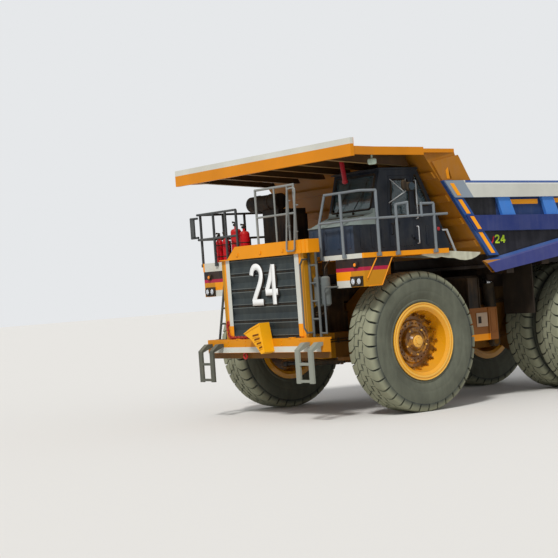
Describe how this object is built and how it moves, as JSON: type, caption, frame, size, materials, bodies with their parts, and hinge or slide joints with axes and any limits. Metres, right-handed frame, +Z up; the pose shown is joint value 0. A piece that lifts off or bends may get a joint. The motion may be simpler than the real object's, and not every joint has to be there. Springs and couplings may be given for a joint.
{
  "type": "mining dump truck",
  "caption": "Rigid two-axle mining dump truck with tilting body, steered front wheels, twin rear wheels, side cab and full-width canopy.",
  "frame": {"origin": "On the ground under the middle of the whole truck's box", "axes": "+Z up, the truck faces -Y, +X is its left, cab side"},
  "size_m": [6, 10.36, 5.187],
  "materials": {
    "frame_paint": "satin",
    "yellow_paint": "satin",
    "louvre_paint": "matte",
    "cab_paint": "satin",
    "body_paint": "satin",
    "rim_paint": "satin",
    "tube_steel": "satin",
    "rod_steel": "polished",
    "dark_iron": "matte",
    "black_plastic": "matte",
    "seat_vinyl": "matte",
    "bottle_paint": "gloss",
    "chock_plastic": "matte",
    "tyre_rubber": "matte",
    "sheet_rubber": "matte",
    "window_glass": "clear",
    "lamp_glass": "clear"
  },
  "bodies": {
    "chassis": {"chassis_frame": "frame_paint", "front_bumper": "yellow_paint", "grille": "louvre_paint", "hood": "yellow_paint", "power_train": "dark_iron", "fender_panels": "yellow_paint", "headlamps": "lamp_glass", "left_deck": "yellow_paint", "right_deck": "yellow_paint", "handrails": "tube_steel", "ladders": "tube_steel", "cab_shell": "cab_paint", "cab_glass": "window_glass", "cab_seat": "seat_vinyl", "air_cleaner": "black_plastic", "air_tanks": "tube_steel", "extinguishers": "bottle_paint", "wheel_chock": "chock_plastic", "side_tanks": "frame_paint", "fender_sheets": "sheet_rubber", "front_suspension": "frame_paint", "rear_axle": "frame_paint"},
    "left_knuckle": {"left_knuckle": "frame_paint"},
    "left_front_wheel": {"left_front_tyre": "tyre_rubber", "left_front_rim": "rim_paint"},
    "left_rear_wheels": {"left_rear_tyres": "tyre_rubber", "left_rear_rims": "rim_paint"},
    "right_knuckle": {"right_knuckle": "frame_paint"},
    "right_front_wheel": {"right_front_tyre": "tyre_rubber", "right_front_rim": "rim_paint"},
    "right_rear_wheels": {"right_rear_tyres": "tyre_rubber", "right_rear_rims": "rim_paint"},
    "dump_bed": {"dump_body": "body_paint", "canopy": "yellow_paint", "body_beams": "body_paint", "mud_flaps": "sheet_rubber"},
    "left_hoist_barrel": {"left_hoist_barrel": "dark_iron"},
    "left_hoist_stage": {"left_hoist_stage": "rod_steel"},
    "left_hoist_rod": {"left_hoist_rod": "rod_steel"},
    "left_steer_barrel": {"left_steer_barrel": "dark_iron"},
    "left_steer_rod": {"left_steer_rod": "rod_steel"},
    "right_hoist_barrel": {"right_hoist_barrel": "dark_iron"},
    "right_hoist_stage": {"right_hoist_stage": "rod_steel"},
    "right_hoist_rod": {"right_hoist_rod": "rod_steel"},
    "right_steer_barrel": {"right_steer_barrel": "dark_iron"},
    "right_steer_rod": {"right_steer_rod": "rod_steel"},
    "tie_rod": {"tie_rod": "frame_paint"},
    "cab_door": {"cab_door": "cab_paint", "door_glass": "window_glass"}
  },
  "joints": [
    {"name": "bed_tilt", "type": "hinge", "parent": "chassis", "child": "dump_bed", "pos_m": [0, 3.19, 2.05], "axis": [-1, 0, 0], "range_deg": [0, 48]},
    {"name": "left_hoist_swing", "type": "hinge", "parent": "chassis", "child": "left_hoist_barrel", "pos_m": [0.86, 0.49, 1.1], "axis": [-1, 0, 0], "range_deg": [0, 23.44]},
    {"name": "left_hoist_stage_slide", "type": "slide", "parent": "left_hoist_barrel", "child": "left_hoist_stage", "axis": [0, -0.0712, 0.9975], "range_m": [0, 1.0845]},
    {"name": "left_hoist_rod_slide", "type": "slide", "parent": "left_hoist_stage", "child": "left_hoist_rod", "axis": [0, -0.0712, 0.9975], "range_m": [0, 1.0845]},
    {"name": "right_hoist_swing", "type": "hinge", "parent": "chassis", "child": "right_hoist_barrel", "pos_m": [-0.86, 0.49, 1.1], "axis": [-1, 0, 0], "range_deg": [0, 23.44]},
    {"name": "right_hoist_stage_slide", "type": "slide", "parent": "right_hoist_barrel", "child": "right_hoist_stage", "axis": [0, -0.0712, 0.9975], "range_m": [0, 1.0845]},
    {"name": "right_hoist_rod_slide", "type": "slide", "parent": "right_hoist_stage", "child": "right_hoist_rod", "axis": [0, -0.0712, 0.9975], "range_m": [0, 1.0845]},
    {"name": "left_steer", "type": "hinge", "parent": "chassis", "child": "left_knuckle", "pos_m": [1.4, -2.91, 1.345], "axis": [0, 0, 1], "range_deg": [-40, 40]},
    {"name": "right_steer", "type": "hinge", "parent": "chassis", "child": "right_knuckle", "pos_m": [-1.4, -2.91, 1.345], "axis": [0, 0, 1], "range_deg": [-40.5, 40.5]},
    {"name": "left_steer_swing", "type": "hinge", "parent": "chassis", "child": "left_steer_barrel", "pos_m": [0.35, -2.71, 0.95], "axis": [0, 0, 1], "range_deg": [-8.4, 8.4]},
    {"name": "left_steer_slide", "type": "slide", "parent": "left_steer_barrel", "child": "left_steer_rod", "axis": [0.8929, -0.4503, 0], "range_m": [-0.206, 0.206]},
    {"name": "right_steer_swing", "type": "hinge", "parent": "chassis", "child": "right_steer_barrel", "pos_m": [-0.35, -2.71, 0.95], "axis": [0, 0, 1], "range_deg": [-8.4, 8.4]},
    {"name": "right_steer_slide", "type": "slide", "parent": "right_steer_barrel", "child": "right_steer_rod", "axis": [-0.8929, -0.4503, 0], "range_m": [-0.206, 0.206]},
    {"name": "tie_rod_turn", "type": "hinge", "parent": "left_knuckle", "child": "tie_rod", "pos_m": [1.4, -2.46, 0.95], "axis": [0, 0, 1], "range_deg": [-40.5, 40.5]},
    {"name": "left_front_spin", "type": "hinge", "parent": "left_knuckle", "child": "left_front_wheel", "pos_m": [2.1625, -2.91, 1.345], "axis": [1, 0, 0], "continuous": true},
    {"name": "left_rear_spin", "type": "hinge", "parent": "chassis", "child": "left_rear_wheels", "pos_m": [1.75, 2.04, 1.345], "axis": [1, 0, 0], "continuous": true},
    {"name": "right_front_spin", "type": "hinge", "parent": "right_knuckle", "child": "right_front_wheel", "pos_m": [-2.1625, -2.91, 1.345], "axis": [1, 0, 0], "continuous": true},
    {"name": "right_rear_spin", "type": "hinge", "parent": "chassis", "child": "right_rear_wheels", "pos_m": [-1.75, 2.04, 1.345], "axis": [1, 0, 0], "continuous": true},
    {"name": "door_swing", "type": "hinge", "parent": "chassis", "child": "cab_door", "pos_m": [2.322, -2.778, 3.8], "axis": [0, 0, 1], "range_deg": [0, 40]}
  ],
  "couplings": [
    {"joint": "left_hoist_swing", "follows": "bed_tilt", "ratio": 0.482},
    {"joint": "left_hoist_stage_slide", "follows": "bed_tilt", "m_per_rad": 1.291},
    {"joint": "left_hoist_rod_slide", "follows": "bed_tilt", "m_per_rad": 1.291},
    {"joint": "right_hoist_swing", "follows": "bed_tilt", "ratio": 0.482},
    {"joint": "right_hoist_stage_slide", "follows": "bed_tilt", "m_per_rad": 1.291},
    {"joint": "right_hoist_rod_slide", "follows": "bed_tilt", "m_per_rad": 1.291},
    {"joint": "right_steer", "follows": "left_steer", "ratio": 1},
    {"joint": "left_steer_swing", "follows": "left_steer", "ratio": 0.202},
    {"joint": "left_steer_slide", "follows": "left_steer", "m_per_rad": 0.29},
    {"joint": "right_steer_swing", "follows": "left_steer", "ratio": 0.202},
    {"joint": "right_steer_slide", "follows": "left_steer", "m_per_rad": -0.29},
    {"joint": "tie_rod_turn", "follows": "left_steer", "ratio": -1}
  ]
}
